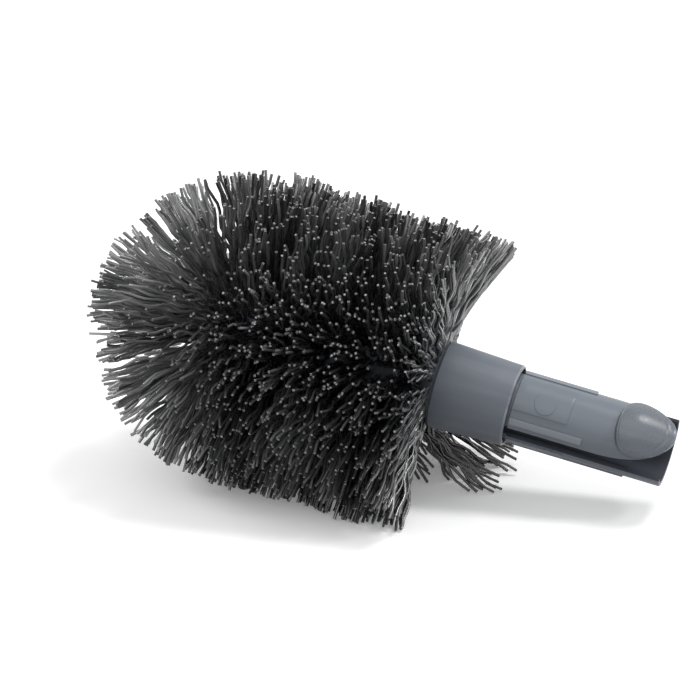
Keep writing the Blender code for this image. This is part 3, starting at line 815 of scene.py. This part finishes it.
def grow(shape, pattern, scratch, bunch, size):
    """Fill one bunch with filaments, appended to a shape in world places."""
    layer = pattern.verts.layers.float["tone"]
    rests = [vert.co.copy() for vert in pattern.verts]
    way = brush_place.to_3x3() @ bunch.way
    near_collar = bunch.near**6 * max(bunch.way.y, 0)
    for _ in range(size):
        sideways = dice.uniform(-1, 1)
        lengthways = dice.uniform(-1, 1)
        foot = bunch.side * sideways + bunch.row_way * lengthways
        aside = bunch.side_fan * sideways + dice.gauss(0, STRAY_SPREAD)
        stray = max(min(dice.gauss(0, STRAY_SPREAD), STRAY_LIMIT), -STRAY_LIMIT)
        forward = bunch.row_fan * lengthways + stray
        if bunch.seat.x > COLLAR_ROW and forward < 0:
            forward *= COLLAR_ROW_BACK_SHARE
        length = bunch.length * (1 + dice.gauss(0, LENGTH_SPREAD))
        if dice.random() < SHORT_SHARE:
            length *= dice.uniform(*SHORT_LENGTHS)
        root = bunch.seat + foot * BUNCH_RADIUS
        root.x = min(root.x, -COLLAR_LENGTH - 2 * BRISTLE_RADIUS)
        root = brush_place @ root
        free = brush_place @ bunch.tip(aside, forward, length)
        end = pressed(root, free, near_collar)
        phase = bunch.phase + dice.gauss(0, CRIMP_SPREAD)
        plane = bunch.plane + dice.gauss(0, CRIMP_SPREAD)
        frames = bristle_line(root, way, end, phase, plane)
        tone = min(max(dice.gauss(bunch.tone, TONE_SPREAD), 0), 1)
        for vert, rest in zip(pattern.verts, rests):
            step = round(rest.z * BRISTLE_STEPS)
            centre, side, other = frames[step]
            slim = BRISTLE_TAPER ** (step / BRISTLE_STEPS)
            vert.co = centre + (side * rest.x + other * rest.y) * slim
            vert.co.z = max(vert.co.z, FLOOR_GAP)
            vert[layer] = tone
        pattern.to_mesh(scratch)
        shape.from_mesh(scratch)
    for vert, rest in zip(pattern.verts, rests):
        vert.co = rest


bristle_groups = []
for row, row_place in enumerate(ROW_PLACES):
    bunches = list(ring_of_bunches(row_place + ROW_PITCH / 4, RING_BUNCHES, row))
    bunches += ring_of_bunches(row_place - ROW_PITCH / 4, RING_BUNCHES, row + 0.5)
    bristle_groups.append((f"row{row + 1}", bunches, BUNCH_SIZE, ROW_TUFTS))
for ring_number, latitude in enumerate(DOME_LATITUDES):
    count = DOME_BUNCHES[ring_number]
    bunches = list(dome_ring_of_bunches(latitude, count, ring_number / 2))
    if latitude == DOME_LATITUDES[-1]:
        bunches += dome_ring_of_bunches(POLE_LATITUDE, 1, 0)
    tufts = DOME_TUFTS[ring_number]
    bristle_groups.append((f"dome{ring_number + 1}", bunches, DOME_BUNCH_SIZE, tufts))

pattern = straight_bristle()
scratch = bpy.data.meshes.new("bristle_pattern")
for group, bunches, size, tufts in bristle_groups:
    shape = bmesh.new()
    for bunch in bunches:
        grow(shape, pattern, scratch, bunch, size)
    bristles = finished(
        "bristles_" + group, shape, Matrix.Identity(4), filament_finish, cut_finish, crease=0,
    )
    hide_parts(*(f"tuft_{group}_{place}" for place in range(1, tufts + 1)))
    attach(bristles, "brush")

# Setting: a plain white floor under broad, even studio light. A firmer lamp stands above at
# the right of the camera, with others at the right, the left and the front, and a long lens
# looks slightly down on the brush.
CAMERA_LENS = 200
CAMERA_REACH = 20
CAMERA_BACK = Vector((0.2464, -0.9068, 0.3420))
CAMERA_RIGHT = Vector((0.9650, 0.2622, 0))
CAMERA_UP = Vector((-0.0897, 0.3301, 0.9397))
VIEW_WIDTH = 0.22715
AIM_RIGHT = -0.0533
AIM_UP = 0.0182
LAMPS = {
    "soft_key": {"way": (0.33, 0.10, 1.0), "strength": 0.85, "softness": 16},
    "overhead": {"way": (0.05, 0.05, 1.0), "strength": 1.00, "softness": 130},
    "right_light": {"way": (0.80, 0.05, 0.74), "strength": 0.60, "softness": 16},
    "front_light": {"way": (-0.15, -0.80, 0.90), "strength": 0.45, "softness": 60},
    "left_light": {"way": (-0.80, 0.10, 0.55), "strength": 0.90, "softness": 24},
}
FILL = 0.26
FLOOR_HALF = 6.0
FLOOR_TRUE = (0.40, 0.40, 0.40, 1.0)
FLOOR_LIFT = 0.20
WHITE = (1.0, 1.0, 1.0, 1.0)
BLACK = (0.0, 0.0, 0.0, 1.0)


def in_plain_sight(tree):
    """1 for what the camera sees itself, or in a mirror or through glass, and 0 for light."""
    rays = tree.nodes.new("ShaderNodeLightPath").outputs
    seen = Wire(tree, rays["Is Camera Ray"])
    for kind in ("Is Glossy Ray", "Is Transmission Ray"):
        seen = seen.or_more(Wire(tree, rays[kind]))
    return seen


floor_shape = bmesh.new()
bmesh.ops.create_grid(floor_shape, x_segments=2, y_segments=2, size=FLOOR_HALF)
floor_finish, shader, place = new_finish("white_floor")
seen = in_plain_sight(place.tree)
seen.blend(FLOOR_TRUE, WHITE).into(shader, "Base Color")
seen.blend(BLACK, WHITE).into(shader, "Emission Color")
shader.inputs["Emission Strength"].default_value = FLOOR_LIFT
shader.inputs["Roughness"].default_value = 0.9
shader.inputs["Specular IOR Level"].default_value = 0.1
finished("floor", floor_shape, Matrix.Identity(4), floor_finish)

world = bpy.data.worlds.new("studio")
world.use_nodes = True
bpy.context.scene.world = world
air = world.node_tree.nodes["Background"]
(in_plain_sight(world.node_tree) * (1 - FILL) + FILL).into(air, "Strength")
air.inputs["Color"].default_value = WHITE

for lamp_name, lamp_is in LAMPS.items():
    lamp_data = bpy.data.lights.new(lamp_name, "SUN")
    lamp_data.energy = lamp_is["strength"]
    lamp_data.angle = math.radians(lamp_is["softness"])
    lamp = bpy.data.objects.new(lamp_name, lamp_data)
    way = Vector(lamp_is["way"]).normalized()
    lamp.rotation_euler = way.to_track_quat("Z", "Y").to_euler()
    bpy.context.scene.collection.objects.link(lamp)

camera_data = bpy.data.cameras.new("camera")
camera_data.lens = CAMERA_LENS
camera_data.clip_end = CAMERA_REACH
camera = bpy.data.objects.new("camera", camera_data)
target = rim_centre + CAMERA_RIGHT * AIM_RIGHT + CAMERA_UP * AIM_UP
distance = VIEW_WIDTH * CAMERA_LENS / camera_data.sensor_width
stance = Matrix((CAMERA_RIGHT, CAMERA_UP, CAMERA_BACK)).transposed().to_4x4()
camera.matrix_world = Matrix.Translation(target + CAMERA_BACK * distance) @ stance
bpy.context.scene.collection.objects.link(camera)
bpy.context.scene.camera = camera
bpy.context.scene.view_settings.view_transform = "Standard"
